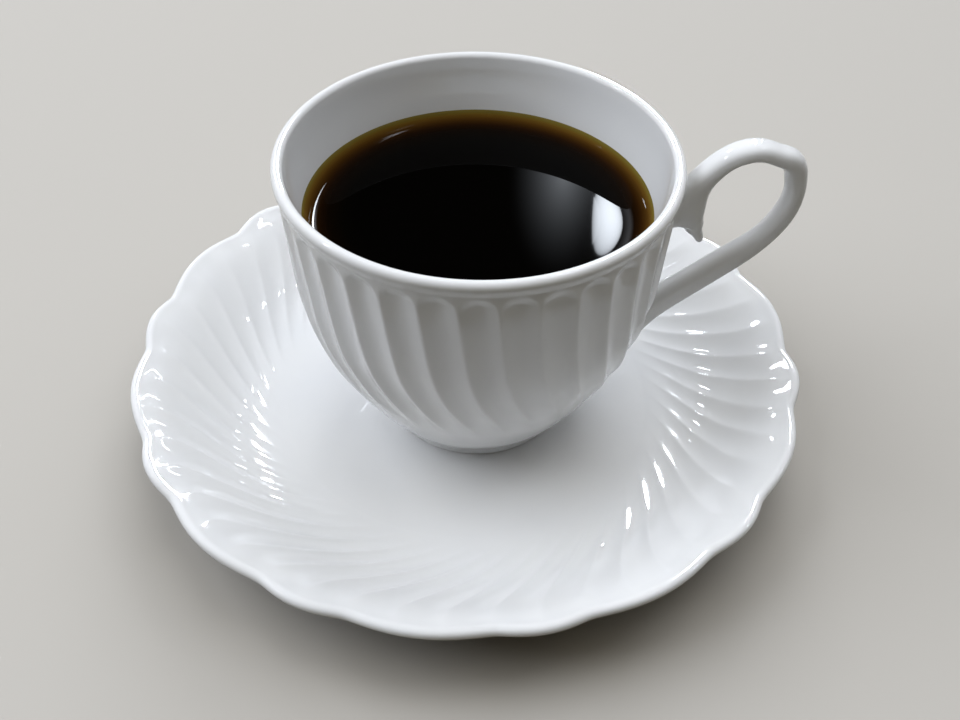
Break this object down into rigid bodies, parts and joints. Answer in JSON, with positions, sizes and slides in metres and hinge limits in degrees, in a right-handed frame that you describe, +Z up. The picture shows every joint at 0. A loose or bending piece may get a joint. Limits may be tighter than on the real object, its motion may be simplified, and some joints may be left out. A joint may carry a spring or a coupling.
{
  "type": "cup of coffee",
  "caption": "Black coffee in a swirl-fluted white porcelain cup with a looped handle, on a scalloped saucer.",
  "frame": {"origin": "centre of the saucer's foot ring, on the surface it stands on", "axes": "+Z up, +X towards the cup's handle"},
  "size_m": [0.1496, 0.1498, 0.0757],
  "materials": {
    "saucer_glaze": "gloss",
    "cup_glaze": "gloss",
    "coffee": "gloss"
  },
  "bodies": {
    "root": {"saucer": "saucer_glaze", "cup": "cup_glaze", "coffee": "coffee"}
  },
  "joints": []
}
